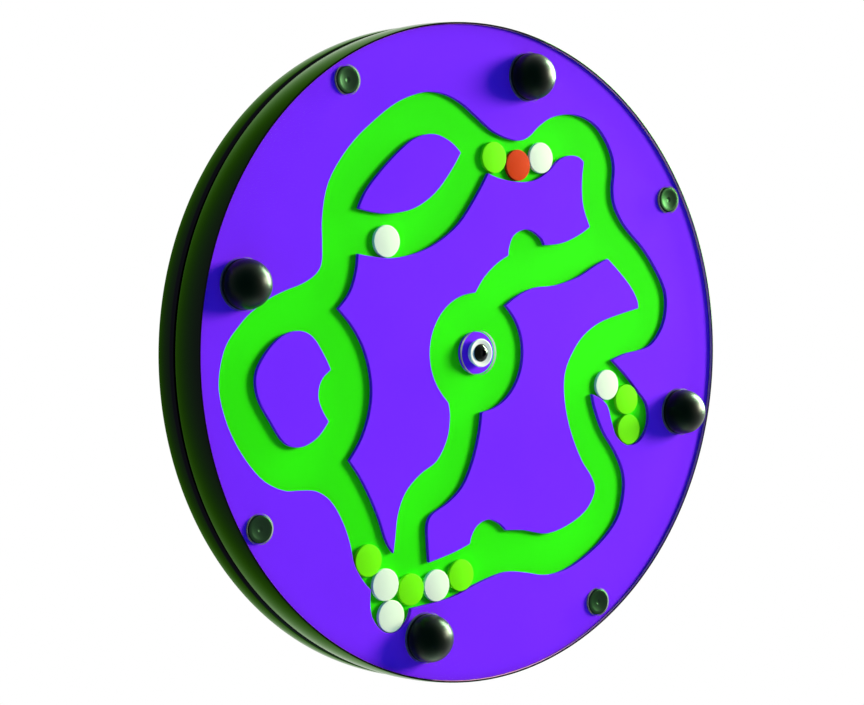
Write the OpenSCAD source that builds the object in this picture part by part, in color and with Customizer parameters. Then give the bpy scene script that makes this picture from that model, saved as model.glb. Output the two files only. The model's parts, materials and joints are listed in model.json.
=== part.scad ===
// Round wall activity panel: a wheel with a chip track turns on a board that is screwed to the wall.
// The frame has +X to the right, -Y out into the room and +Z up.
// The origin is the point where the axle meets the wall.

/* [Face] */
// Radius of the purple face, out to the lip of the rim
face_r = 254; // [230:1:280]
// Thickness of the purple track sheet, which is the depth of the track
sheet_t = 3.5; // [3:0.1:4.5]
// Thickness of the green track floor
floor_t = 6; // [5:0.5:9]
// Thickness of the clear cover
cover_t = 2.5; // [2:0.1:4]
// Gap between a hole in the clear cover and the piece that stands in it
cover_hole_gap = 0.9; // [0.5:0.1:1.2]
// Thickness of the board behind the track floor
core_t = 21.5; // [20:0.5:26]
// Radius of the purple disc at the hub
hub_island_r = 16.4; // [14:0.2:18]

/* [Rims] */
// How far the crown of either rim stands out past the purple face
rim_out = 2.5; // [1.8:0.1:5]
// Width of the rim that shows from behind
rim_w = 10; // [8:0.5:14]
// Height of the wheel rim's lip over the clear cover
lip_rise = 0.3; // [0.1:0.1:1]
// Radius of the wheel rim's crown
wheel_crown_r = 110; // [90:5:200]
// Radius of the back rim's crown
back_crown_r = 60; // [50:5:120]
// Radius of the rounded corners on the rims
rim_round = 3; // [1:0.5:4]

/* [Back board] */
// Thickness of the board on the wall
back_t = 20; // [17:0.5:26]
// Radius of the circle of wall screw holes
wall_hole_pitch_r = 170; // [120:5:200]
// Radius of a wall screw hole
wall_hole_r = 3.25; // [2:0.25:4]
// Radius of the countersink of a wall screw hole
wall_sink_r = 6.5; // [5:0.5:9]

/* [Axle] */
// Radius of the axle bolt's shoulder
shoulder_r = 5; // [4.8:0.1:5.6]
// Radius of the axle bolt's thread
thread_r = 4; // [3:0.25:4.25]
// Radius of the axle bolt's head
bolt_head_r = 6.9; // [6.2:0.1:7.2]
// Height of the axle bolt's head
bolt_head_h = 3.8; // [3.4:0.2:5]
// Width across the flats of the bolt's socket
socket_w = 5; // [3:0.5:6]
// Depth of the bolt's socket
socket_d = 2.4; // [1.5:0.1:3]
// Radius of the threaded sleeve in the back board
sleeve_r = 6.5; // [6:0.25:8]
// Radius of that sleeve's flange
sleeve_flange_r = 13; // [11:0.5:16]
// Thickness of that sleeve's flange
sleeve_flange_t = 1.6; // [1.2:0.1:2.4]
// Radius of the spacer washer
spacer_r = 30; // [20:1:40]
// Thickness of the spacer washer
spacer_t = 2.3; // [1.5:0.1:4]

/* [Hub bushing] */
// Radius of the bushing's barrel
barrel_r = 8; // [7:0.25:9]
// Radius of the bushing's flange
flange_r = 11; // [10.4:0.1:12.5]
// Thickness of the bushing's flange
flange_t = 1.4; // [1.2:0.1:2]
// Height of the bushing's head over the purple disc
bush_head_h = 5.3; // [4.8:0.1:6]
// Radius of the collar under the flange
collar_r = 9.4; // [9.2:0.1:10]
// Depth of the dish in the flange
dish_d = 0.7; // [0.5:0.1:1]
// Width of the dish's sloping side
dish_w = 1.6; // [0.8:0.1:2]
// Width of the flange's flat edge round the dish
dish_edge = 1.4; // [0.8:0.1:2]

/* [Grips] */
// Distance of the grips from the edge of the face
knob_inset = 31; // [26:1:36]
// Angle of the first grip from +X
knob_angle = 76.7; // [70:0.1:82]
// Radius of a grip's ball
knob_r = 18.3; // [16:0.1:20]
// Height of the ball's centre over the purple face
knob_rise = 6; // [4:0.5:8]
// Radius of the round foot under the ball
knob_foot_r = 18.6; // [17:0.1:20]
// Height of that foot
knob_foot_h = 3; // [2:0.2:3.8]
// Radius of a grip's screw
knob_screw_r = 3; // [2.5:0.25:3.5]
// Radius of a grip's threaded insert
insert_r = 4.6; // [4.2:0.1:6]
// Length of a grip's threaded insert
insert_l = 12; // [8:0.5:14]
// Radius of the head of a grip's screw
knob_screw_head_r = 6; // [5:0.25:8]
// Thickness of the head of a grip's screw
knob_screw_head_t = 3.4; // [2.5:0.1:4.5]

/* [Face screws] */
// Distance of the face screws from the edge of the face
cap_inset = 15.2; // [13:0.2:18]
// Angle of the first face screw from +X
cap_angle = 31.6; // [28:0.1:35]
// Radius of a screw cap
cap_r = 10.3; // [9.4:0.1:11]
// Height of a screw cap
cap_h = 2.8; // [2.6:0.1:3.6]
// Radius of the dish in a cap's front
cap_dish_r = 8; // [7:0.1:8.2]
// Depth of that dish
cap_dish_d = 0.8; // [0.5:0.1:0.9]
// Radius of the cap's base washer
cap_base_r = 8; // [7:0.1:8.2]
// Thickness of the cap's base washer
cap_base_t = 0.8; // [0.6:0.1:0.9]
// Radius of a face screw
face_screw_r = 1.9; // [1.5:0.1:2.4]
// Radius of a face screw's head
face_screw_head_r = 4; // [3:0.1:5]
// Depth of a face screw's countersunk head
face_screw_head_t = 2.2; // [1.6:0.1:2.6]
// Length of a face screw
face_screw_l = 26; // [18:1:30]

/* [Core screws] */
// Distance of the core screws from the edge of the face
core_screw_inset = 34; // [30:1:60]
// Number of core screws
core_screw_count = 8; // [4:4:8]
// Radius of a core screw
core_screw_r = 2; // [1.5:0.1:2.5]
// Radius of a core screw's head
core_screw_head_r = 4.2; // [3.5:0.1:5]
// Thickness of a core screw's head
core_screw_head_t = 2.6; // [2:0.1:3.2]
// How far a core screw goes into the track floor
core_screw_bite = 3.5; // [2:0.5:4]

/* [Chips] */
// Gap between two chips that touch in the photograph, and between a chip and its wall
chip_gap = 0.35; // [0.2:0.05:0.6]
// Gap between a chip's face and the cover or the floor
chip_play = 0.3; // [0.1:0.05:0.5]
// Radius of a chip's rounded edge
chip_round = 0.5; // [0.2:0.1:0.9]

/* [Hidden] */
$fn = 96;
// Segments of the large, shallow crown arcs
crown_fn = 360;
// Straight steps in each span of a track outline
span_steps = 4;

// Play between pieces that are fixed to each other
seat_clear = 0.1;
// Radial play of the bushing on the shoulder, and of threads in their nuts
run_clear = 0.05;
// Room round a screw that passes through
screw_clear = 0.2;
// Play along the axle at the washer and under the bolt head
end_play = 0.2;
// How far a cut runs past the face that it opens
overrun = 1;
// Thread length left short of the wall
thread_short = 3;
// Play beyond the end of a screw in a blind hole
tip_clear = 0.5;
// Radius of the rounded edges of a grip's foot
foot_round = 0.8;
// Radius of a screw cap's round shoulder
cap_round = 1;
// Radius and depth of the dimple in the middle of a cap's dish
cap_dimple_r = 2.2;
cap_dimple_d = 0.4;

// Heights above the wall, which is the distance out along -Y
wheel_back_h = back_t + spacer_t + end_play;
floor_h = wheel_back_h + core_t;
sheet_h = floor_h + floor_t;
face_h = sheet_h + sheet_t;
cover_h = face_h + cover_t;
lip_h = cover_h + lip_rise;

// Radii and places that follow from the sizes above
core_r = face_r + rim_out - rim_w;
crown_out_r = face_r + rim_out;
knob_pitch_r = face_r - knob_inset;
cap_pitch_r = face_r - cap_inset;
core_screw_pitch_r = face_r - core_screw_inset;
core_screw_angle = (knob_angle + cap_angle) / 2;
bush_front_h = face_h + bush_head_h;
dish_floor_h = bush_front_h - dish_d;
head_h = dish_floor_h + end_play;
grip_count = 4;
wall_hole_count = 4;
wall_hole_angle = 45;

// Half the spacing of chips that touch, as a share of the face radius
chip_room_share = 0.0488;
chip_r = chip_room_share * face_r - chip_gap / 2;
chip_t = sheet_t - 2 * chip_play;

// Radius of the round pocket about the hub, as a share of the face radius
hub_pocket_share = 0.184;

// Track outlines, as shares of the face radius, seen from the front with +X right and +Z up.
// Each outline is a ring of runs. A run starts at a corner and is smooth up to the next corner.
outer_share = [
    [[-0.404, -0.696], [-0.429, -0.671], [-0.464, -0.618], [-0.479, -0.557], [-0.504, -0.493],
     [-0.550, -0.425], [-0.600, -0.395], [-0.650, -0.391], [-0.707, -0.389], [-0.779, -0.359],
     [-0.843, -0.296], [-0.896, -0.214], [-0.927, -0.129], [-0.934, -0.075], [-0.921, 0.000],
     [-0.901, 0.043], [-0.871, 0.079], [-0.836, 0.114], [-0.800, 0.139], [-0.755, 0.166],
     [-0.700, 0.188], [-0.650, 0.205], [-0.602, 0.233], [-0.582, 0.262], [-0.579, 0.320],
     [-0.579, 0.400], [-0.557, 0.500], [-0.486, 0.604], [-0.400, 0.682], [-0.300, 0.750],
     [-0.204, 0.783], [-0.150, 0.785], [-0.100, 0.775], [-0.050, 0.753], [0.000, 0.720],
     [0.071, 0.676], [0.150, 0.656], [0.186, 0.659], [0.214, 0.674], [0.246, 0.702],
     [0.296, 0.732], [0.350, 0.746], [0.400, 0.748], [0.450, 0.738], [0.500, 0.711],
     [0.551, 0.646], [0.568, 0.590], [0.562, 0.520], [0.570, 0.470], [0.611, 0.407],
     [0.696, 0.332], [0.749, 0.271], [0.793, 0.200], [0.801, 0.150], [0.790, 0.093],
     [0.764, 0.050], [0.729, 0.018], [0.689, 0.003], [0.621, -0.009]],
    [[0.561, -0.029], [0.621, -0.079], [0.675, -0.132], [0.711, -0.171], [0.721, -0.215],
     [0.711, -0.257], [0.675, -0.296], [0.625, -0.3045], [0.577, -0.273], [0.556, -0.222],
     [0.536, -0.171]],
    [[0.475, -0.137], [0.486, -0.179], [0.521, -0.254], [0.575, -0.325], [0.607, -0.386],
     [0.614, -0.440], [0.593, -0.525], [0.543, -0.586], [0.464, -0.643], [0.364, -0.689],
     [0.286, -0.701], [0.193, -0.686], [0.143, -0.680], [0.100, -0.682], [0.000, -0.708],
     [-0.100, -0.742], [-0.200, -0.757]],
    [[-0.254, -0.763], [-0.264, -0.793], [-0.296, -0.822], [-0.329, -0.831], [-0.362, -0.821],
     [-0.396, -0.784], [-0.406, -0.745]]];
leaf_share = [
    [[-0.448, 0.428], [-0.421, 0.479], [-0.371, 0.536], [-0.300, 0.601], [-0.236, 0.645],
     [-0.164, 0.660], [-0.100, 0.638]],
    [[-0.064, 0.608], [-0.100, 0.554], [-0.164, 0.482], [-0.243, 0.434], [-0.336, 0.416],
     [-0.400, 0.419]]];
left_share = [
    [[-0.556, -0.194], [-0.582, -0.154], [-0.593, -0.120], [-0.582, -0.075]],
    [[-0.548, -0.044], [-0.573, 0.001], [-0.614, 0.054], [-0.657, 0.070], [-0.721, 0.054],
     [-0.779, 0.001], [-0.809, -0.057], [-0.802, -0.118], [-0.761, -0.186], [-0.707, -0.254],
     [-0.657, -0.266], [-0.600, -0.243]]];
middle_share = [
    [[-0.450, 0.295], [-0.407, 0.289], [-0.336, 0.284], [-0.250, 0.296], [-0.157, 0.332],
     [-0.071, 0.393], [0.000, 0.482]],
    [[0.044, 0.550], [0.086, 0.537], [0.157, 0.528], [0.231, 0.535], [0.292, 0.568],
     [0.332, 0.6025], [0.379, 0.619], [0.417, 0.615]],
    [[0.437, 0.600], [0.429, 0.540], [0.434, 0.464]],
    [[0.463, 0.396], [0.421, 0.371], [0.350, 0.343]],
    [[0.272, 0.334], [0.257, 0.357], [0.200, 0.382], [0.146, 0.361], [0.127, 0.321]],
    [[0.125, 0.299], [0.079, 0.274], [0.029, 0.232]],
    hub_arc_share(92, 231),
    [[-0.112, -0.150], [-0.106, -0.190], [-0.116, -0.257], [-0.157, -0.325], [-0.218, -0.361],
     [-0.275, -0.414], [-0.304, -0.479], [-0.314, -0.550]],
    [[-0.320, -0.593], [-0.346, -0.557], [-0.371, -0.493], [-0.404, -0.425], [-0.443, -0.361]],
    [[-0.482, -0.311], [-0.436, -0.246], [-0.406, -0.164], [-0.401, -0.085], [-0.425, 0.008],
     [-0.468, 0.079]],
    [[-0.522, 0.134], [-0.479, 0.182], [-0.456, 0.245]]];
right_share = [
    [[0.114, 0.145], [0.171, 0.179], [0.236, 0.201], [0.321, 0.209], [0.414, 0.236],
     [0.500, 0.279]],
    [[0.541, 0.295], [0.600, 0.246], [0.646, 0.200], [0.672, 0.157]],
    [[0.673, 0.137], [0.586, 0.116], [0.500, 0.089], [0.436, 0.050], [0.391, -0.001],
     [0.359, -0.064], [0.354, -0.129], [0.375, -0.232], [0.429, -0.346], [0.471, -0.400],
     [0.486, -0.440], [0.457, -0.496], [0.393, -0.539], [0.286, -0.570], [0.186, -0.554]],
    [[0.116, -0.550], [0.093, -0.530], [0.045, -0.513], [0.000, -0.530], [-0.022, -0.562]],
    [[-0.028, -0.583], [-0.086, -0.604]],
    [[-0.186, -0.630], [-0.191, -0.571], [-0.192, -0.515], [-0.179, -0.489], [-0.114, -0.454],
     [-0.057, -0.407], [-0.018, -0.336], [0.010, -0.245]],
    hub_arc_share(-84, 52)];

// Chip centres, as shares of the face radius
bottom_chip_share = [[-0.412, -0.609], [-0.349, -0.685], [-0.254, -0.7065], [-0.156, -0.7015],
                     [-0.0615, -0.677], [-0.328, -0.7805]];
pocket_chip_share = [[0.5385, -0.1085], [0.6235, -0.157], [0.633, -0.254]];
top_chip_share = [[0.068, 0.5995], [0.164, 0.5795], [0.258, 0.606]];
leaf_chip_share = [[-0.344, 0.334]];

// Colours, as seen
purple = [0.46, 0.17, 0.98];
green = [0.18, 0.96, 0.02];
lime = [0.46, 0.98, 0.02];
cream = [0.91, 0.98, 0.88];
orange = [0.86, 0.28, 0.02];
dark = [0.04, 0.05, 0.04];

// Points on the edge of the hub pocket, from one angle to another
function hub_arc_share(from, to, steps = 8) =
    [for (i = [0:steps - 1]) hub_pocket_share * [cos(from + (to - from) * i / steps),
                                                 sin(from + (to - from) * i / steps)]];

// Centripetal spacing between point i and the next
function chord(p, i) = sqrt(norm(p[i + 1] - p[i]));

// Direction of the smooth curve at point i
function slope(p, i) =
    let (last = len(p) - 1)
    i == 0 ? (3 * (p[1] - p[0]) / chord(p, 0) - slope(p, 1)) / 2
    : i == last ? (3 * (p[last] - p[last - 1]) / chord(p, last - 1) - slope(p, last - 1)) / 2
    : ((p[i + 1] - p[i]) / chord(p, i) * chord(p, i - 1)
       + (p[i] - p[i - 1]) / chord(p, i - 1) * chord(p, i)) / (chord(p, i - 1) + chord(p, i));

// Point at share t of the span from a to b, leaving at slope u and arriving at slope v
function on_span(a, b, u, v, c, t) =
    (2 * t^3 - 3 * t^2 + 1) * a + (t^3 - 2 * t^2 + t) * c * u
    + (3 * t^2 - 2 * t^3) * b + (t^3 - t^2) * c * v;

// Points of one run, up to but not counting its last
function run_points(p) =
    len(p) == 2 ? [p[0]]
    : [for (i = [0:len(p) - 2]) for (s = [0:span_steps - 1])
        on_span(p[i], p[i + 1], slope(p, i), slope(p, i + 1), chord(p, i), s / span_steps)];

// Closed outline made of runs that meet at corners
function outline(runs) =
    face_r * [for (k = [0:len(runs) - 1])
        each run_points(concat(runs[k], [runs[(k + 1) % len(runs)][0]]))];

// Lays a piece that is drawn flat against the wall, h out from it
module out(h) {
    rotate([90, 0, 0]) translate([0, 0, h]) children();
}

// Repeats a piece at equal angles on a circle about the axle
module around(count, radius, start) {
    for (i = [0:count - 1])
        rotate(start + i * 360 / count) translate([radius, 0, 0]) children();
}

// A square corner outside a quarter round, for taking off
module corner_waste(r) {
    difference() {
        square(r + overrun);
        circle(r = r);
    }
}

// Radius of a rim's crown, at a distance along the axle from the crown's middle
function crown_reach(crown_r, along) = crown_out_r - crown_r + sqrt(crown_r^2 - along^2);

// Half section of a rim between two heights, crowned outside and rounded at the corners
module rim_section(low, high, crown_r, low_round, high_round) {
    mid = (low + high) / 2;
    low_r = crown_reach(crown_r, mid - low - low_round) - low_round;
    high_r = crown_reach(crown_r, high - high_round - mid) - high_round;
    difference() {
        intersection() {
            translate([crown_out_r - crown_r, mid]) circle(r = crown_r, $fn = crown_fn);
            translate([core_r + seat_clear, low]) square([rim_w, high - low]);
        }
        translate([low_r, low + low_round]) mirror([0, 1]) corner_waste(low_round);
        translate([high_r, high - high_round]) corner_waste(high_round);
    }
}

// Countersunk screw with its head down at height zero and its tip up
module sunk_screw(r, length, head_r, head_t) {
    difference() {
        union() {
            cylinder(r = r, h = length);
            cylinder(r1 = head_r, r2 = r, h = head_t);
        }
        translate([0, 0, -overrun]) cylinder(r = r, h = overrun + head_t / 2, $fn = 6);
    }
}

// Round hole for a screw, countersunk from height zero
module sunk_hole(r, length, sink_r, sink_t) {
    translate([0, 0, -overrun]) cylinder(r = r, h = length + overrun);
    translate([0, 0, -overrun]) cylinder(r = sink_r, h = overrun);
    cylinder(r1 = sink_r, r2 = r, h = sink_t);
}

// Holes through a sheet at the grips and at the face screws
module face_holes(thickness, grip_hole_r, screw_hole_r) {
    translate([0, 0, -overrun]) {
        around(grip_count, knob_pitch_r, knob_angle)
            cylinder(r = grip_hole_r, h = thickness + 2 * overrun);
        around(grip_count, cap_pitch_r, cap_angle)
            cylinder(r = screw_hole_r, h = thickness + 2 * overrun);
    }
}

// Countersinks of the face screws, whose heads are flush with the front of the cap bases
module face_screw_sinks(front) {
    translate([0, 0, front]) mirror([0, 0, 1]) around(grip_count, cap_pitch_r, cap_angle)
        sunk_hole(face_screw_r + seat_clear, face_screw_head_t,
                  face_screw_head_r + seat_clear, face_screw_head_t);
}

module back_board() {
    color(dark) out(0) difference() {
        cylinder(r = core_r, h = back_t);
        translate([0, 0, -overrun]) cylinder(r = sleeve_r + seat_clear, h = back_t + 2 * overrun);
        translate([0, 0, -overrun])
            cylinder(r = sleeve_flange_r + seat_clear, h = sleeve_flange_t + seat_clear + overrun);
        translate([0, 0, back_t]) mirror([0, 0, 1])
            around(wall_hole_count, wall_hole_pitch_r, wall_hole_angle)
                sunk_hole(wall_hole_r, back_t + overrun, wall_sink_r, wall_sink_r - wall_hole_r);
    }
}

module back_rim() {
    color(dark) out(0) rotate_extrude()
        rim_section(0, back_t, back_crown_r, rim_round, rim_round);
}

module axle_nut() {
    color("silver") out(seat_clear) difference() {
        union() {
            cylinder(r = sleeve_flange_r, h = sleeve_flange_t);
            cylinder(r = sleeve_r, h = back_t - seat_clear);
        }
        translate([0, 0, -overrun]) cylinder(r = thread_r + run_clear, h = back_t + overrun);
    }
}

module axle_bolt() {
    dome_r = (bolt_head_r^2 + bolt_head_h^2) / (2 * bolt_head_h);
    color(dark) out(0) difference() {
        union() {
            translate([0, 0, thread_short]) cylinder(r = thread_r, h = back_t - thread_short);
            translate([0, 0, back_t]) cylinder(r = shoulder_r, h = head_h - back_t);
            translate([0, 0, head_h]) intersection() {
                cylinder(r = bolt_head_r, h = bolt_head_h);
                translate([0, 0, bolt_head_h - dome_r]) sphere(r = dome_r);
            }
        }
        translate([0, 0, head_h + bolt_head_h - socket_d])
            cylinder(r = socket_w / 2 / cos(30), h = socket_d + overrun, $fn = 6);
    }
}

module spacer_washer() {
    color("white") out(back_t) difference() {
        cylinder(r = spacer_r, h = spacer_t);
        translate([0, 0, -overrun]) cylinder(r = shoulder_r + screw_clear, h = spacer_t + 2 * overrun);
    }
}

module wheel_core() {
    color(dark) out(wheel_back_h) difference() {
        cylinder(r = core_r, h = core_t);
        translate([0, 0, -overrun]) cylinder(r = barrel_r + seat_clear, h = core_t + 2 * overrun);
        around(grip_count, knob_pitch_r, knob_angle) translate([0, 0, -overrun]) {
            cylinder(r = knob_screw_r + screw_clear, h = core_t + 2 * overrun);
            cylinder(r = knob_screw_head_r + screw_clear, h = knob_screw_head_t + overrun);
        }
        around(grip_count, cap_pitch_r, cap_angle)
            translate([0, 0, core_t - face_screw_sink()])
                cylinder(r = face_screw_r + seat_clear, h = face_screw_sink() + overrun);
        around(core_screw_count, core_screw_pitch_r, core_screw_angle)
            sunk_hole(core_screw_r + seat_clear, core_t + overrun,
                      core_screw_head_r + seat_clear, core_screw_head_t);
    }
}

// How deep a face screw's hole goes into the core
function face_screw_sink() =
    max(tip_clear, face_screw_l + tip_clear - cap_base_t - sheet_t - floor_t);

module wheel_rim() {
    lip_round = (crown_reach(wheel_crown_r, (lip_h - wheel_back_h) / 2) - face_r) / 2;
    color(dark) out(0) rotate_extrude() difference() {
        rim_section(wheel_back_h, lip_h, wheel_crown_r, rim_round, lip_round);
        translate([core_r, floor_h - seat_clear])
            square([face_r + seat_clear - core_r, lip_h + overrun - floor_h + seat_clear]);
    }
}

module track_floor() {
    color(green) out(floor_h) difference() {
        cylinder(r = face_r, h = floor_t);
        translate([0, 0, -overrun]) cylinder(r = barrel_r + seat_clear, h = floor_t + 2 * overrun);
        face_holes(floor_t, knob_screw_r + screw_clear, face_screw_r + seat_clear);
        around(core_screw_count, core_screw_pitch_r, core_screw_angle) translate([0, 0, -overrun])
            cylinder(r = core_screw_r + seat_clear, h = core_screw_bite + tip_clear + overrun);
    }
}

module outer_ring() {
    color(purple) out(sheet_h) difference() {
        cylinder(r = face_r, h = sheet_t);
        translate([0, 0, -overrun]) linear_extrude(sheet_t + 2 * overrun) polygon(outline(outer_share));
        face_holes(sheet_t, knob_screw_r + screw_clear, face_screw_r + seat_clear);
        face_screw_sinks(sheet_t + cap_base_t);
    }
}

// A purple piece inside the track
module island(runs) {
    color(purple) out(sheet_h) linear_extrude(sheet_t) polygon(outline(runs));
}

module hub_island() {
    color(purple) out(sheet_h) difference() {
        cylinder(r = hub_island_r, h = sheet_t);
        translate([0, 0, -overrun]) cylinder(r = barrel_r + seat_clear, h = sheet_t + 2 * overrun);
    }
}

module clear_cover() {
    color([0.8, 0.9, 1, 0.25]) out(face_h) difference() {
        cylinder(r = face_r, h = cover_t);
        translate([0, 0, -overrun]) cylinder(r = hub_island_r + cover_hole_gap, h = cover_t + 2 * overrun);
        face_holes(cover_t, knob_foot_r + cover_hole_gap, cap_r + cover_hole_gap);
    }
}

module hub_bushing() {
    rim_in_r = flange_r - dish_edge;
    color("white") out(0) difference() {
        union() {
            translate([0, 0, wheel_back_h]) cylinder(r = barrel_r, h = face_h - wheel_back_h);
            translate([0, 0, face_h]) cylinder(r = collar_r, h = bush_head_h - flange_t);
            translate([0, 0, bush_front_h - flange_t]) cylinder(r = flange_r, h = flange_t);
        }
        translate([0, 0, dish_floor_h])
            cylinder(r1 = rim_in_r - dish_w, r2 = rim_in_r, h = dish_d);
        translate([0, 0, bush_front_h]) cylinder(r = rim_in_r, h = overrun);
        translate([0, 0, wheel_back_h - overrun])
            cylinder(r = shoulder_r + run_clear, h = dish_floor_h - wheel_back_h + 2 * overrun);
    }
}

// Half section of a grip: a ball that stands on a flat round foot
module knob_section() {
    difference() {
        square([knob_foot_r, knob_foot_h]);
        translate([knob_foot_r - foot_round, foot_round]) mirror([0, 1]) corner_waste(foot_round);
        translate([knob_foot_r - foot_round, knob_foot_h - foot_round]) corner_waste(foot_round);
    }
    intersection() {
        translate([0, knob_rise]) circle(r = knob_r);
        translate([0, foot_round]) square([knob_r, knob_rise + knob_r]);
    }
}

// One grip, drawn with its foot at height zero
module knob_body() {
    difference() {
        rotate_extrude() knob_section();
        translate([0, 0, -overrun])
            cylinder(r = insert_r + seat_clear, h = insert_l + tip_clear + overrun);
    }
}

module knob(i) {
    color(dark) out(face_h)
        rotate(knob_angle - (i - 1) * 360 / grip_count) translate([knob_pitch_r, 0, 0]) knob_body();
}

module knob_inserts() {
    color("gold") out(face_h) around(grip_count, knob_pitch_r, knob_angle) difference() {
        cylinder(r = insert_r, h = insert_l);
        translate([0, 0, -overrun]) cylinder(r = knob_screw_r + run_clear, h = insert_l + 2 * overrun);
    }
}

module knob_screws() {
    color("silver") out(wheel_back_h) around(grip_count, knob_pitch_r, knob_angle) difference() {
        union() {
            cylinder(r = knob_screw_head_r, h = knob_screw_head_t);
            cylinder(r = knob_screw_r, h = face_h - wheel_back_h + insert_l - tip_clear);
        }
        translate([0, 0, -overrun])
            cylinder(r = knob_screw_r, h = overrun + knob_screw_head_t / 2, $fn = 6);
    }
}

module cap_bases() {
    color(dark) out(face_h) difference() {
        around(grip_count, cap_pitch_r, cap_angle) cylinder(r = cap_base_r, h = cap_base_t);
        face_screw_sinks(cap_base_t);
    }
}

module face_screws() {
    color("silver") out(face_h + cap_base_t) mirror([0, 0, 1])
        around(grip_count, cap_pitch_r, cap_angle)
            sunk_screw(face_screw_r, face_screw_l, face_screw_head_r, face_screw_head_t);
}

// Radius of the ball that cuts a dish of a given radius and depth
function dish_ball_r(r, depth) = (r^2 + depth^2) / (2 * depth);

module screw_caps() {
    dish_bottom = cap_h - cap_dish_d;
    dish_ball = dish_ball_r(cap_dish_r, cap_dish_d);
    dimple_ball = dish_ball_r(cap_dimple_r, cap_dimple_d);
    color(dark) out(face_h) around(grip_count, cap_pitch_r, cap_angle) difference() {
        rotate_extrude() difference() {
            square([cap_r, cap_h]);
            translate([cap_r - cap_round, cap_h - cap_round]) corner_waste(cap_round);
        }
        translate([0, 0, dish_bottom + dish_ball]) sphere(r = dish_ball);
        translate([0, 0, dish_bottom - cap_dimple_d + dimple_ball]) sphere(r = dimple_ball);
        translate([0, 0, -overrun])
            cylinder(r = cap_base_r + seat_clear, h = cap_base_t + seat_clear + overrun);
    }
}

module core_screws() {
    color("silver") out(wheel_back_h) around(core_screw_count, core_screw_pitch_r, core_screw_angle)
        sunk_screw(core_screw_r, core_t + core_screw_bite, core_screw_head_r, core_screw_head_t);
}

// Half section of a chip: a flat disc with round edges
module chip_section() {
    difference() {
        square([chip_r, chip_t]);
        translate([chip_r - chip_round, chip_t - chip_round]) corner_waste(chip_round);
        translate([chip_r - chip_round, chip_round]) mirror([0, 1]) corner_waste(chip_round);
    }
}

module chip(place, paint) {
    color(paint) out(sheet_h + chip_play) translate(face_r * place) rotate_extrude() chip_section();
}

bottom_chip_paints = [lime, cream, lime, cream, lime, cream];
pocket_chip_paints = [cream, lime, lime];
top_chip_paints = [lime, orange, cream];

back_board();
back_rim();
axle_nut();
axle_bolt();
spacer_washer();
wheel_core();
wheel_rim();
track_floor();
outer_ring();
island(leaf_share);  // leaf_island
island(left_share);  // left_island
island(middle_share);  // middle_island
island(right_share);  // right_island
hub_island();
clear_cover();
hub_bushing();
for (i = [1:grip_count])
    knob(i);
knob_inserts();
knob_screws();
cap_bases();
face_screws();
screw_caps();
core_screws();
for (i = [1:len(bottom_chip_share)])
    chip(bottom_chip_share[i - 1], bottom_chip_paints[i - 1]);
for (i = [1:len(pocket_chip_share)])
    chip(pocket_chip_share[i - 1], pocket_chip_paints[i - 1]);
for (i = [1:len(top_chip_share)])
    chip(top_chip_share[i - 1], top_chip_paints[i - 1]);
chip(leaf_chip_share[0], cream);  // leaf_chip
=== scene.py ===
import json
import math

import bpy
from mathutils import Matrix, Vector

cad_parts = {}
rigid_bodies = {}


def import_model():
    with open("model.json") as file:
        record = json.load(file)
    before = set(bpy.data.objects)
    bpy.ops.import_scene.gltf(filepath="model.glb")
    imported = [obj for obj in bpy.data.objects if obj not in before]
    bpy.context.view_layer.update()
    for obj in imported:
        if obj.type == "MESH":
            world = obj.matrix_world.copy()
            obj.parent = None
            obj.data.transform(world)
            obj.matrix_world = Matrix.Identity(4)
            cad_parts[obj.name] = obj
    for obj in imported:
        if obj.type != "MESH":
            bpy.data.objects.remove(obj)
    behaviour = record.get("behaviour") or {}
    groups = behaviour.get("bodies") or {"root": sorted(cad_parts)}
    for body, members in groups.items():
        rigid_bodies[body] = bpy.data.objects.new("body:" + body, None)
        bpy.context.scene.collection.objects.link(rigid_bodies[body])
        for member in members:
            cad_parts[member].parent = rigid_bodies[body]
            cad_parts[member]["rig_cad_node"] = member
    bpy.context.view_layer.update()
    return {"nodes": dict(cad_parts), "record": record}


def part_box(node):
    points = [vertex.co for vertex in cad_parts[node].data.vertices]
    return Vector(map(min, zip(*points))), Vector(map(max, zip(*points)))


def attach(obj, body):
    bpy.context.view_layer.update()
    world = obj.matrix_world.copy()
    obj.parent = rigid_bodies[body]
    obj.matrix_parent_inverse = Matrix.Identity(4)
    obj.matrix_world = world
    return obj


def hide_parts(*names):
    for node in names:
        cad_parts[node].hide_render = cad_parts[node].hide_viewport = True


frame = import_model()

MM = 0.001
SMOOTH_ANGLE = math.radians(35)

# Camera

PHOTO_WIDE = 864
PHOTO_FOCAL = 2241.73
SENSOR = 36.0
EYE = Vector((-1.10044, -1.40230, 0.02910))
LOOKED_AT = Vector((-0.04459, -0.05350, 0.00069))

camera = bpy.data.objects.new("photo_view", bpy.data.cameras.new("photo_view"))
bpy.context.scene.collection.objects.link(camera)
camera.data.sensor_width = SENSOR
camera.data.lens = PHOTO_FOCAL * SENSOR / PHOTO_WIDE
camera.location = EYE
camera.rotation_mode = "QUATERNION"
camera.rotation_quaternion = (LOOKED_AT - EYE).to_track_quat("-Z", "Y")
bpy.context.scene.camera = camera


# Working by hand

def pick(piece):
    """Only this piece is selected and active."""
    bpy.ops.object.select_all(action="DESELECT")
    piece.select_set(True)
    bpy.context.view_layer.objects.active = piece


def deselect_mesh():
    bpy.ops.mesh.select_all(action="DESELECT")


def settle():
    """Puts the piece's place into its mesh and leaves its object at the origin."""
    bpy.ops.object.transform_apply(location=True, rotation=True, scale=True)


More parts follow.
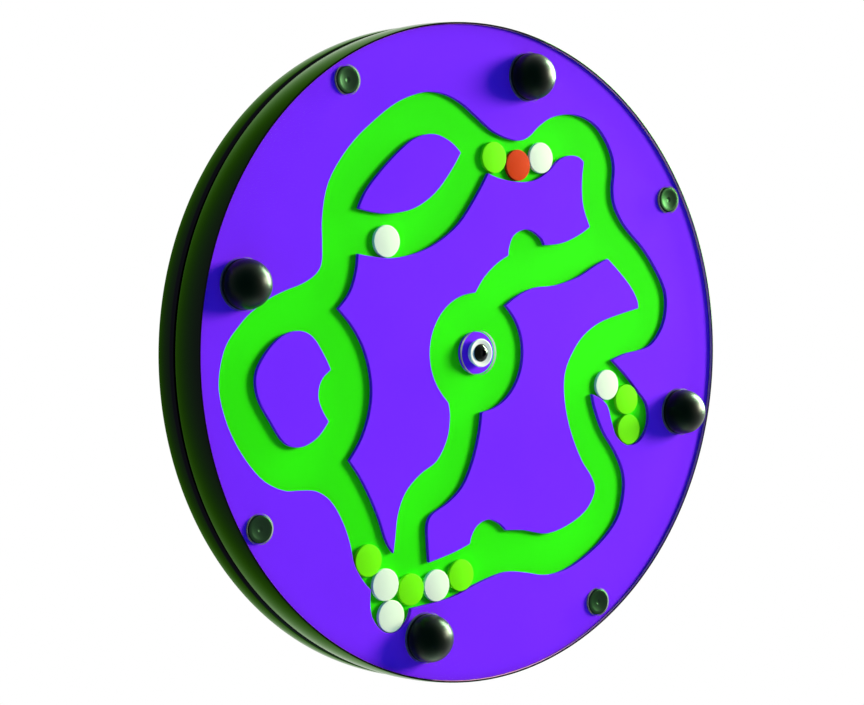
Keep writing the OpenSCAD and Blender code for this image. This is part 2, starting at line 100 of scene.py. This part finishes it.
def fasten(piece, body, nodes, materials):
    """Puts a piece on the body that carries it, hides the frame parts it stands for and gives it
    its finishes.
    """
    piece.data.materials.clear()
    for material in materials:
        piece.data.materials.append(material)
    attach(piece, body)
    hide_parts(*nodes)
    return piece


def turned(name, half_section, steps):
    """A piece turned about the axle from a half section of (radius, height off the wall) points."""
    bpy.ops.object.select_all(action="DESELECT")
    radius, height = half_section[0]
    bpy.ops.mesh.primitive_plane_add(size=MM, location=(radius, -height, 0))
    piece = bpy.context.object
    piece.name = name
    settle()
    bpy.ops.object.mode_set(mode="EDIT")
    bpy.ops.mesh.select_mode(type="VERT")
    bpy.ops.mesh.select_all(action="SELECT")
    bpy.ops.mesh.merge(type="CENTER")
    for next_radius, next_height in half_section[1:]:
        step = (next_radius - radius, height - next_height, 0)
        bpy.ops.mesh.extrude_region_move(TRANSFORM_OT_translate={"value": step})
        radius, height = next_radius, next_height
    bpy.ops.mesh.select_all(action="SELECT")
    bpy.ops.mesh.spin(steps=steps, angle=math.tau, center=(0, 0, 0), axis=(0, 1, 0))
    bpy.ops.mesh.select_all(action="SELECT")
    bpy.ops.mesh.remove_doubles(threshold=0.005 * MM)
    bpy.ops.mesh.normals_make_consistent(inside=False)
    deselect_mesh()
    bpy.ops.object.mode_set(mode="OBJECT")
    bpy.ops.object.shade_smooth_by_angle(angle=SMOOTH_ANGLE)
    return piece


def arc(centre, radius, start, end, count):
    """Points of an arc in a half section, with angles in degrees from straight outwards."""
    points = []
    for i in range(count + 1):
        angle = math.radians(start + (end - start) * i / count)
        points.append((centre[0] + radius * math.cos(angle), centre[1] + radius * math.sin(angle)))
    return points


def copied_to(pattern, name, place):
    """A copy of a finished piece with its own mesh, set at a place on the face."""
    pick(pattern)
    bpy.ops.object.duplicate()
    piece = bpy.context.object
    piece.name = name
    bpy.ops.transform.translate(value=place)
    settle()
    return piece


def middle_of(node):
    """The centre of a CAD node, seen from the front, with no depth."""
    low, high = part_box(node)
    return Vector(((low.x + high.x) / 2, 0, (low.z + high.z) / 2))


def heights_of(node):
    """How far off the wall a CAD node starts and ends."""
    low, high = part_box(node)
    return -high.y, -low.y


# Finishes

def group_of(name, inputs, outputs):
    """A new shader node group with named inputs and outputs."""
    group = bpy.data.node_groups.new(name, "ShaderNodeTree")
    for side, sockets in (("INPUT", inputs), ("OUTPUT", outputs)):
        for label, kind in sockets:
            group.interface.new_socket(label, in_out=side, socket_type="NodeSocket" + kind)
    return group, group.nodes.new("NodeGroupInput"), group.nodes.new("NodeGroupOutput")


def add(tree, kind, **settings):
    """A shader node with its settings and its plain input values."""
    node = tree.nodes.new("ShaderNode" + kind)
    for key, value in settings.items():
        if key in node.inputs:
            node.inputs[key].default_value = value
        else:
            setattr(node, key, value)
    return node


def larger_of(tree, first, second):
    """The larger of two values."""
    larger = add(tree, "Math", operation="MAXIMUM")
    tree.links.new(first, larger.inputs[0])
    tree.links.new(second, larger.inputs[1])
    return larger.outputs[0]


def shader_mix(tree, first, second):
    """A mix of two shaders. The share of the second one is still to be given."""
    mix = add(tree, "MixShader")
    tree.links.new(first, mix.inputs[1])
    tree.links.new(second, mix.inputs[2])
    return mix


def moulded_skin():
    """Colour that drifts a little over a piece, with a fine grain in its gloss and its surface."""
    group, given, made = group_of("moulded_skin", [
        ("Colour", "Color"), ("Drift", "Float"), ("Drift Size", "Float"), ("Gloss", "Float"),
        ("Gloss Spread", "Float"), ("Grain Size", "Float"), ("Grain Depth", "Float"),
    ], [("Colour", "Color"), ("Roughness", "Float"), ("Normal", "Vector")])
    link = group.links.new
    place = add(group, "TexCoord")
    cloud = add(group, "TexNoise", Detail=3.0, Roughness=0.55)
    link(place.outputs["Object"], cloud.inputs["Vector"])
    link(given.outputs["Drift Size"], cloud.inputs["Scale"])
    low = add(group, "Math", operation="SUBTRACT")
    low.inputs[0].default_value = 1.0
    link(given.outputs["Drift"], low.inputs[1])
    high = add(group, "Math", operation="ADD")
    high.inputs[0].default_value = 1.0
    link(given.outputs["Drift"], high.inputs[1])
    level = add(group, "MapRange", clamp=True)
    level.inputs["From Min"].default_value = 0.3
    level.inputs["From Max"].default_value = 0.7
    link(cloud.outputs["Fac"], level.inputs["Value"])
    link(low.outputs[0], level.inputs["To Min"])
    link(high.outputs[0], level.inputs["To Max"])
    tone = add(group, "VectorMath", operation="SCALE")
    link(given.outputs["Colour"], tone.inputs[0])
    link(level.outputs["Result"], tone.inputs["Scale"])
    link(tone.outputs["Vector"], made.inputs["Colour"])
    grain = add(group, "TexNoise", Detail=2.0, Roughness=0.5)
    link(place.outputs["Object"], grain.inputs["Vector"])
    link(given.outputs["Grain Size"], grain.inputs["Scale"])
    both = add(group, "Math", operation="ADD")
    link(cloud.outputs["Fac"], both.inputs[0])
    link(grain.outputs["Fac"], both.inputs[1])
    around_none = add(group, "Math", operation="SUBTRACT")
    around_none.inputs[1].default_value = 1.0
    link(both.outputs[0], around_none.inputs[0])
    spread = add(group, "Math", operation="MULTIPLY_ADD", use_clamp=True)
    link(around_none.outputs[0], spread.inputs[0])
    link(given.outputs["Gloss Spread"], spread.inputs[1])
    link(given.outputs["Gloss"], spread.inputs[2])
    link(spread.outputs[0], made.inputs["Roughness"])
    bump = add(group, "Bump", Strength=1.0)
    link(given.outputs["Grain Depth"], bump.inputs["Distance"])
    link(grain.outputs["Fac"], bump.inputs["Height"])
    link(bump.outputs["Normal"], made.inputs["Normal"])
    return group


def rub_marks():
    """Mask of thin, long marks that handling leaves, in two directions."""
    group, given, made = group_of("rub_marks", [("Size", "Float"), ("Width", "Float")],
                                  [("Mask", "Float")])
    stretch = (14.0, 1.0, 1.0)
    link = group.links.new
    place = add(group, "TexCoord")
    parts = []
    for turn in (0.5, 2.1):
        lay = add(group, "Mapping")
        lay.inputs["Rotation"].default_value = (0.3, turn, 0.2)
        link(place.outputs["Object"], lay.inputs["Vector"])
        drawn = add(group, "VectorMath", operation="MULTIPLY")
        drawn.inputs[1].default_value = stretch
        link(lay.outputs["Vector"], drawn.inputs[0])
        streak = add(group, "TexNoise", Detail=1.0, Roughness=0.4)
        link(drawn.outputs["Vector"], streak.inputs["Vector"])
        link(given.outputs["Size"], streak.inputs["Scale"])
        line = add(group, "Math", operation="COMPARE")
        line.inputs[1].default_value = 0.5
        link(streak.outputs["Fac"], line.inputs[0])
        link(given.outputs["Width"], line.inputs[2])
        parts.append(line.outputs[0])
    link(larger_of(group, *parts), made.inputs["Mask"])
    return group


SKIN = moulded_skin()
RUBS = rub_marks()


def start_material(name):
    """A material with an empty node tree, its output and a Principled shader."""
    material = bpy.data.materials.new(name)
    material.use_nodes = True
    tree = material.node_tree
    tree.nodes.clear()
    return material, tree, add(tree, "OutputMaterial"), add(tree, "BsdfPrincipled")


def lay_group(tree, group, **values):
    """A shader group with its values, placed in a material."""
    node = add(tree, "Group", node_tree=group)
    for label, value in values.items():
        node.inputs[label.replace("_", " ")].default_value = value
    return node


def finish_of(name, colour, gloss, shine, tint=(1, 1, 1), metal=0.0, drift=0.05,
              gloss_spread=0.08, grain_size=900.0, grain_depth=0.02 * MM, rub=0.0):
    """A finish with drifting colour, grain and rub marks. Shine is how strongly it reflects."""
    material, tree, output, shader = start_material(name)
    link = tree.links.new
    shader.inputs["Metallic"].default_value = metal
    shader.inputs["Specular IOR Level"].default_value = shine
    shader.inputs["Specular Tint"].default_value = (*tint, 1)
    link(shader.outputs["BSDF"], output.inputs["Surface"])
    skin = lay_group(tree, SKIN, Colour=(*colour, 1), Drift=drift, Drift_Size=12.0, Gloss=gloss,
                     Gloss_Spread=gloss_spread, Grain_Size=grain_size, Grain_Depth=grain_depth)
    link(skin.outputs["Colour"], shader.inputs["Base Color"])
    link(skin.outputs["Normal"], shader.inputs["Normal"])
    if rub:
        marks = lay_group(tree, RUBS, Size=10.0, Width=0.004)
        duller = add(tree, "Math", operation="MULTIPLY_ADD", use_clamp=True)
        duller.inputs[1].default_value = rub
        link(marks.outputs["Mask"], duller.inputs[0])
        link(skin.outputs["Roughness"], duller.inputs[2])
        link(duller.outputs[0], shader.inputs["Roughness"])
    else:
        link(skin.outputs["Roughness"], shader.inputs["Roughness"])
    return material


PURPLE = finish_of("purple_sheet", (0.190, 0.021, 0.95), 0.5, 0.01, tint=(0.55, 0.35, 1.0),
                   drift=0.03, rub=0.15)
GREEN = finish_of("green_sheet", (0.028, 0.90, 0.002), 0.55, 0.02, tint=(0.3, 1.0, 0.2), drift=0.03)
LIME = finish_of("lime_chip", (0.175, 0.91, 0.003), 0.5, 0.03, tint=(0.6, 1.0, 0.2))
WHITE_CHIP = finish_of("white_chip", (0.79, 0.91, 0.65), 0.5, 0.05)
ORANGE = finish_of("orange_chip", (0.62, 0.044, 0.003), 0.5, 0.03, tint=(1.0, 0.5, 0.3))
WHITE = finish_of("white_plastic", (0.82, 0.90, 0.74), 0.4, 0.1)
RIM = finish_of("rim_black", (0.004, 0.004, 0.006), 0.14, 0.5, tint=(0.55, 0.79, 0.47), metal=1.0,
                gloss_spread=0.04, grain_depth=0.006 * MM)
BOARD = finish_of("board_black", (0.006, 0.007, 0.006), 0.6, 0.1, grain_size=1500.0,
                  grain_depth=0.04 * MM)
KNOB = finish_of("knob_black", (0.002, 0.003, 0.002), 0.35, 0.8, tint=(0.0, 0.04, 0.015), rub=0.1)
CAP = finish_of("cap_black", (0.010, 0.024, 0.013), 0.32, 0.5, tint=(0.5, 1.0, 0.5), metal=1.0)
BLACK_STEEL = finish_of("black_steel", (0.003, 0.003, 0.003), 0.16, 0.5, tint=(0.08, 0.1, 0.08))
ZINC = finish_of("zinc_steel", (0.42, 0.43, 0.43), 0.34, 0.5, metal=1.0, grain_size=2500.0)
BRASS = finish_of("brass_insert", (0.52, 0.32, 0.09), 0.34, 0.5, metal=1.0, grain_size=2500.0)


# Low, so the white surroundings lay no veil over the colours behind the sheet.
SHEET_BENDING = 1.06


def let_lamps_through(tree, surface, output):
    """The surface is seen, but lamps and soft light pass it to the face behind."""
    path = add(tree, "LightPath")
    straight = larger_of(tree, path.outputs["Is Shadow Ray"], path.outputs["Is Diffuse Ray"])
    through = add(tree, "BsdfTransparent")
    choose = shader_mix(tree, surface, through.outputs["BSDF"])
    tree.links.new(straight, choose.inputs["Fac"])
    tree.links.new(choose.outputs["Shader"], output.inputs["Surface"])


def clear_sheet():
    """Clear polished sheet with a few hair scratches."""
    material, tree, output, shader = start_material("clear_sheet")
    link = tree.links.new
    shader.inputs["Base Color"].default_value = (0.99, 1.0, 1.0, 1)
    shader.inputs["Transmission Weight"].default_value = 1.0
    shader.inputs["IOR"].default_value = SHEET_BENDING
    shader.inputs["Roughness"].default_value = 0.0
    marks = lay_group(tree, RUBS, Size=7.0, Width=0.001)
    scratch = add(tree, "Bump", Strength=0.1)
    scratch.inputs["Distance"].default_value = 0.004 * MM
    link(marks.outputs["Mask"], scratch.inputs["Height"])
    link(scratch.outputs["Normal"], shader.inputs["Normal"])
    let_lamps_through(tree, shader.outputs["BSDF"], output)
    return material


def cut_edge(name, colour, glow_share):
    """Sawn edge of the clear sheet: frosted, with light from inside the sheet coming through. Its
    colour is also used to paint shade onto the edge, or a glow of light carried by the sheet.
    """
    material, tree, output, shader = start_material(name)
    link = tree.links.new
    shader.inputs["Specular IOR Level"].default_value = 0.1
    skin = lay_group(tree, SKIN, Colour=(*colour, 1), Drift=0.04, Drift_Size=60.0, Gloss=0.6,
                     Gloss_Spread=0.1, Grain_Size=2500.0, Grain_Depth=0.05 * MM)
    glow = add(tree, "BsdfTranslucent")
    link(skin.outputs["Colour"], shader.inputs["Base Color"])
    link(skin.outputs["Colour"], glow.inputs["Color"])
    link(skin.outputs["Roughness"], shader.inputs["Roughness"])
    link(skin.outputs["Normal"], shader.inputs["Normal"])
    both = shader_mix(tree, shader.outputs["BSDF"], glow.outputs["BSDF"])
    both.inputs["Fac"].default_value = glow_share
    let_lamps_through(tree, both.outputs["Shader"], output)
    return material


CLEAR = clear_sheet()
# Dark grey hole edges: painted shade, much darker than a frosted edge, so the rings round caps and
# grips stay dark. The translucent share lets real light through.
CUT_EDGE_PAINTED_SHADE = cut_edge("cut_edge", (0.20, 0.21, 0.23), 0.6)
# Pale pink outer edge: a painted glow standing in for the purple light carried through the sheet to
# its rim.
OUTER_EDGE_PAINTED_GLOW = cut_edge("outer_edge_painted_glow", (1.0, 0.42, 0.60), 0.1)


# Studio

def soft_lamp(name, place, size, watts, colour):
    """A large soft lamp that looks at the middle of the panel."""
    lamp = bpy.data.objects.new(name, bpy.data.lights.new(name, "AREA"))
    bpy.context.scene.collection.objects.link(lamp)
    lamp.data.shape = "RECTANGLE"
    lamp.data.size, lamp.data.size_y = size
    lamp.data.energy = watts
    lamp.data.color = colour
    lamp.location = Vector(place)
    lamp.rotation_mode = "QUATERNION"
    lamp.rotation_quaternion = (-lamp.location).to_track_quat("-Z", "Y")
    lamp.visible_camera = False


def studio():
    """White surroundings that light the panel softly blue, two large lamps and a pale floor."""
    world = bpy.data.worlds.new("studio")
    bpy.context.scene.world = world
    world.use_nodes = True
    tree = world.node_tree
    tree.nodes.clear()
    link = tree.links.new
    output = add(tree, "OutputWorld")
    seen = add(tree, "Background", Strength=1.0)
    seen.inputs["Color"].default_value = (1, 1, 1, 1)
    soft = add(tree, "Background", Strength=0.24)
    soft.inputs["Color"].default_value = (0.26, 0.78, 1.90, 1)
    path = add(tree, "LightPath")
    direct = larger_of(tree, path.outputs["Is Camera Ray"], path.outputs["Is Glossy Ray"])
    choose = shader_mix(tree, soft.outputs["Background"], seen.outputs["Background"])
    link(larger_of(tree, direct, path.outputs["Is Transmission Ray"]), choose.inputs["Fac"])
    link(choose.outputs["Shader"], output.inputs["Surface"])

    soft_lamp("key_lamp", place=(3.62, -1.92, 0.98), size=(1.15, 1.3), watts=270,
              colour=(1.16, 1.0, 0.79))
    soft_lamp("side_lamp", place=(2.5, -0.08, 1.0), size=(0.6, 2.0), watts=390,
              colour=(0.66, 1.0, 0.60))

    bpy.ops.object.select_all(action="DESELECT")
    bpy.ops.mesh.primitive_grid_add(x_subdivisions=8, y_subdivisions=8, size=1,
                                    location=(0.05, -0.15, -1.1), scale=(2.5, 2.1, 1))
    floor = bpy.context.object
    floor.name = "studio_floor"
    settle()
    paper = finish_of("studio_floor", (0.82, 0.82, 0.82), 0.9, 0.0, drift=0.01, grain_size=300.0)
    floor.data.materials.append(paper)


studio()


# Purple sheets and clear cover

SHEETS = ["outer_ring", "leaf_island", "left_island", "middle_island", "right_island", "hub_island"]
SHEET_EDGE = 0.45 * MM
COVER_EDGE = 0.1 * MM


def dressed_sheet(node, name, edge):
    """A copy of a sheet from the frame, merged, with the front edges of its cut-outs rounded."""
    source = frame["nodes"][node]
    piece = source.copy()
    piece.data = source.data.copy()
    piece.name = name
    piece.parent = None
    del piece["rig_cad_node"]
    bpy.context.scene.collection.objects.link(piece)
    pick(piece)
    bpy.ops.object.mode_set(mode="EDIT")
    bpy.ops.mesh.select_all(action="SELECT")
    bpy.ops.mesh.remove_doubles(threshold=0.002 * MM)
    bpy.ops.mesh.dissolve_limited(angle_limit=math.radians(0.4))
    deselect_mesh()
    bpy.ops.mesh.select_mode(type="EDGE")
    bpy.ops.mesh.edges_select_sharp(sharpness=math.radians(60))
    bpy.ops.object.mode_set(mode="OBJECT")
    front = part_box(node)[0].y + 0.1 * MM
    mesh = piece.data
    for line in mesh.edges:
        at_front = all(mesh.vertices[v].co.y < front for v in line.vertices)
        line.select = line.select and at_front
    bpy.ops.object.mode_set(mode="EDIT")
    bpy.ops.mesh.bevel(offset=edge, segments=3, affect="EDGES", clamp_overlap=True)
    deselect_mesh()
    bpy.ops.object.mode_set(mode="OBJECT")
    bpy.ops.object.shade_smooth_by_angle(angle=math.radians(30))
    bpy.ops.object.modifier_add(type="WEIGHTED_NORMAL")
    piece.modifiers[-1].keep_sharp = True
    piece.modifiers[-1].weight = 100
    bpy.ops.object.modifier_apply(modifier=piece.modifiers[-1].name)
    return piece


for sheet in SHEETS:
    purple = dressed_sheet(sheet, "purple_" + sheet, SHEET_EDGE)
    fasten(purple, "wheel", [sheet], [PURPLE])

cover = dressed_sheet("clear_cover", "cover_sheet", COVER_EDGE)
cover_finishes = [CLEAR, CUT_EDGE_PAINTED_SHADE, OUTER_EDGE_PAINTED_GLOW]
fasten(cover, "wheel", ["clear_cover"], cover_finishes)
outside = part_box("clear_cover")[1].x - 1 * MM
# Side faces of the cover: the outermost ring gets the painted pink glow, the hole edges get the
# painted shade.
facing_front = 0.9
for face in cover.data.polygons:
    if abs(face.normal.y) < facing_front:
        edge = OUTER_EDGE_PAINTED_GLOW if math.hypot(face.center.x, face.center.z) > outside else CUT_EDGE_PAINTED_SHADE
        face.material_index = cover_finishes.index(edge)


# Rims

WHEEL_BACK, LIP = heights_of("wheel_rim")
BOARD_BACK, BOARD_FRONT = heights_of("back_board")
FLOOR_BACK = heights_of("track_floor")[0]
FACE = heights_of("outer_ring")[1]
FACE_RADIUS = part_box("outer_ring")[1].x
CORE_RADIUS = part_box("wheel_core")[1].x
SEAT = 0.1 * MM
RIM_STEPS = 288
ROUND_STEPS = 96


def crown(node, bulge, back_round, front_round):
    """Outside of a rim in half section: a rounded corner, a shallow crown and another corner."""
    low, high = heights_of(node)
    centre = (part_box(node)[1].x - bulge, (low + high) / 2)
    half = (high - low) / 2
    back_tilt = math.asin((half - back_round) / bulge)
    front_tilt = math.asin((half - front_round) / bulge)
    back_corner = (centre[0] + bulge * math.cos(back_tilt) - back_round, low + back_round)
    front_corner = (centre[0] + bulge * math.cos(front_tilt) - front_round, high - front_round)
    points = arc(back_corner, back_round, -90, -math.degrees(back_tilt), 8)
    points += arc(centre, bulge, -math.degrees(back_tilt), math.degrees(front_tilt), 24)[1:-1]
    points += arc(front_corner, front_round, math.degrees(front_tilt), 90, 8)
    return points


wheel_crown = crown("wheel_rim", 110 * MM, 3 * MM, 0.6 * MM)
inside_back = (CORE_RADIUS + SEAT, WHEEL_BACK)
wheel_rim = turned("wheel_rim_moulding", [
    inside_back, *wheel_crown, (FACE_RADIUS + SEAT, LIP), (FACE_RADIUS + SEAT, FLOOR_BACK - SEAT),
    (CORE_RADIUS + SEAT, FLOOR_BACK - SEAT), inside_back], RIM_STEPS)
fasten(wheel_rim, "wheel", ["wheel_rim"], [RIM])

back_crown = crown("back_rim", 60 * MM, 3 * MM, 3 * MM)
inside_back = (CORE_RADIUS + SEAT, BOARD_BACK)
back_rim = turned("back_rim_moulding", [
    inside_back, *back_crown, (CORE_RADIUS + SEAT, BOARD_FRONT), inside_back], RIM_STEPS)
fasten(back_rim, "wall_side", ["back_rim"], [RIM])


# Grips

def grip():
    """A ball grip on a low round foot with the bore for its insert, turned about the axle."""
    low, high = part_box("knob_1")
    foot = (high.x - low.x) / 2
    ball = 18.3 * MM
    middle = -low.y - ball
    soft = 0.8 * MM
    foot_top = FACE + 3 * MM
    bore, bore_end = 4.7 * MM, FACE + 12.5 * MM
    start = math.degrees(math.asin((foot_top - middle) / ball))
    return turned("ball_grip", [
        (0, bore_end), (bore, bore_end), (bore, FACE),
        *arc((foot - soft, FACE + soft), soft, -90, 0, 5),
        *arc((foot - soft, foot_top - soft), soft, 0, 75, 5),
        *arc((0, middle), ball, start, 90, 36)], ROUND_STEPS)


ball_grip = grip()
for i in range(1, 5):
    knob = "knob_" + str(i)
    copy = copied_to(ball_grip, "ball_grip_" + str(i), middle_of(knob))
    fasten(copy, "wheel", [knob], [KNOB])
bpy.data.objects.remove(ball_grip)


# Screw caps

CAP_RADIUS = 10.3 * MM
CAP_PITCH = 238.8 * MM


def snap_cap():
    """A hollow cap with a round shoulder, a wide dish and a dimple in the middle."""
    top = heights_of("screw_caps")[1]
    shoulder = 1 * MM
    dish, dish_depth = 8 * MM, 0.8 * MM
    dimple, dimple_depth = 2.2 * MM, 0.4 * MM
    hollow, hollow_end = 8.1 * MM, FACE + 0.9 * MM
    points = [(0, hollow_end), (hollow, hollow_end), (hollow, FACE), (CAP_RADIUS, FACE)]
    points += arc((CAP_RADIUS - shoulder, top - shoulder), shoulder, 0, 90, 8)
    for i in range(1, 17):
        reach = dish + (dimple - dish) * i / 16
        points.append((reach, top - dish_depth * (1 - (reach / dish) ** 2)))
    rim = dish_depth * (1 - (dimple / dish) ** 2)
    for i in range(1, 9):
        share = i / 8
        sunk = rim + dimple_depth * math.sin(math.pi / 2 * share)
        points.append((dimple * (1 - share), top - sunk))
    return turned("snap_cap", points, ROUND_STEPS)


def cap_places():
    """The centres of the four caps, from the corners that they reach in the frame."""
    low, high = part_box("screw_caps")
    far = high.x - CAP_RADIUS
    near = math.sqrt(CAP_PITCH ** 2 - far ** 2)
    return [Vector((far, 0, near)), Vector((-near, 0, far)),
            Vector((-far, 0, -near)), Vector((near, 0, -far))]


pattern_cap = snap_cap()
for i, place in enumerate(cap_places()):
    cap = copied_to(pattern_cap, "snap_cap_" + str(i + 1), place)
    fasten(cap, "wheel", ["screw_caps"], [CAP])
bpy.data.objects.remove(pattern_cap)


# Hub

def bushing():
    """The hub bushing: a barrel, a collar and a flange with a flat edge and a dished middle."""
    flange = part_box("hub_bushing")[1].x
    back, front = heights_of("hub_bushing")
    barrel, collar, bore = 8 * MM, 9.4 * MM, 5.05 * MM
    soft = 0.5 * MM
    thick = 1.4 * MM
    edge, slope, deep = 1.4 * MM, 1.6 * MM, 0.7 * MM
    points = [(bore, back), (barrel, back), (barrel, FACE), (collar, FACE), (collar, front - thick)]
    points += arc((flange - soft, front - thick + soft), soft, -90, 0, 5)
    points += arc((flange - soft, front - soft), soft, 0, 90, 5)
    points += [(flange - edge, front), (flange - edge - slope, front - deep), (bore, front - deep)]
    return turned("hub_flange", points + [(bore, back)], 128)


fasten(bushing(), "wheel", ["hub_bushing"], [WHITE])


def dome_bolt():
    """The axle bolt: thread, shoulder, domed head and a six-sided socket."""
    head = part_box("axle_bolt")[1].x
    tip, top = heights_of("axle_bolt")
    thread, shoulder = 4 * MM, 5 * MM
    head_back = top - 3.8 * MM
    lip = 0.35 * MM
    tall = top - head_back - lip
    ball = (head ** 2 + tall ** 2) / (2 * tall)
    reach = math.degrees(math.asin(head / ball))
    points = [(0, tip), (thread, tip), (thread, BOARD_FRONT), (shoulder, BOARD_FRONT),
              (shoulder, head_back), (head, head_back), (head, head_back + lip)]
    points += arc((0, top - ball), ball, 90 - reach, 90, 24)[1:]
    bolt = turned("dome_bolt", points, ROUND_STEPS)
    flats, depth = 5 * MM, 2.4 * MM
    bpy.ops.object.select_all(action="DESELECT")
    bpy.ops.mesh.primitive_cylinder_add(vertices=6, radius=flats / 2 / math.cos(math.pi / 6),
                                        depth=2 * depth, location=(0, -top, 0),
                                        rotation=(math.pi / 2, 0, 0))
    key = bpy.context.object
    settle()
    pick(bolt)
    bpy.ops.object.modifier_add(type="BOOLEAN")
    bolt.modifiers[-1].object = key
    bolt.modifiers[-1].solver = "EXACT"
    bpy.ops.object.modifier_apply(modifier=bolt.modifiers[-1].name)
    bpy.data.objects.remove(key)
    bpy.ops.object.shade_smooth_by_angle(angle=SMOOTH_ANGLE)
    return bolt


fasten(dome_bolt(), "wall_side", ["axle_bolt"], [BLACK_STEEL])


# Chips

def play_chip():
    """A flat chip with round edges, turned about the axle."""
    low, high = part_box("leaf_chip")
    radius = (high.x - low.x) / 2
    back, front = heights_of("leaf_chip")
    soft = 0.5 * MM
    points = [(0, back), *arc((radius - soft, back + soft), soft, -90, 0, 6)]
    points += [*arc((radius - soft, front - soft), soft, 0, 90, 6), (0, front)]
    return turned("play_chip", points, ROUND_STEPS)


pattern_chip = play_chip()
CHIP_PAINTS = {"lime_chip": LIME, "white_chip": WHITE_CHIP, "orange_chip": ORANGE}
for part in frame["record"]["subparts"]:
    node, paint = part["node"], part["material_slot"]
    if paint in CHIP_PAINTS:
        chip = copied_to(pattern_chip, "loose_" + node, middle_of(node))
        fasten(chip, node, [node], [CHIP_PAINTS[paint]])
bpy.data.objects.remove(pattern_chip)


# Finish the remaining frame parts

CAD_FINISHES = {
    "back_board": BOARD, "axle_nut": ZINC, "spacer_washer": WHITE, "wheel_core": BOARD,
    "track_floor": GREEN, "knob_inserts": BRASS, "knob_screws": ZINC,
    "cap_bases": CAP, "face_screws": ZINC, "core_screws": ZINC,
}
for node, finish in CAD_FINISHES.items():
    for place in frame["nodes"][node].material_slots:
        place.material = finish

bpy.context.scene.view_settings.view_transform = "Standard"
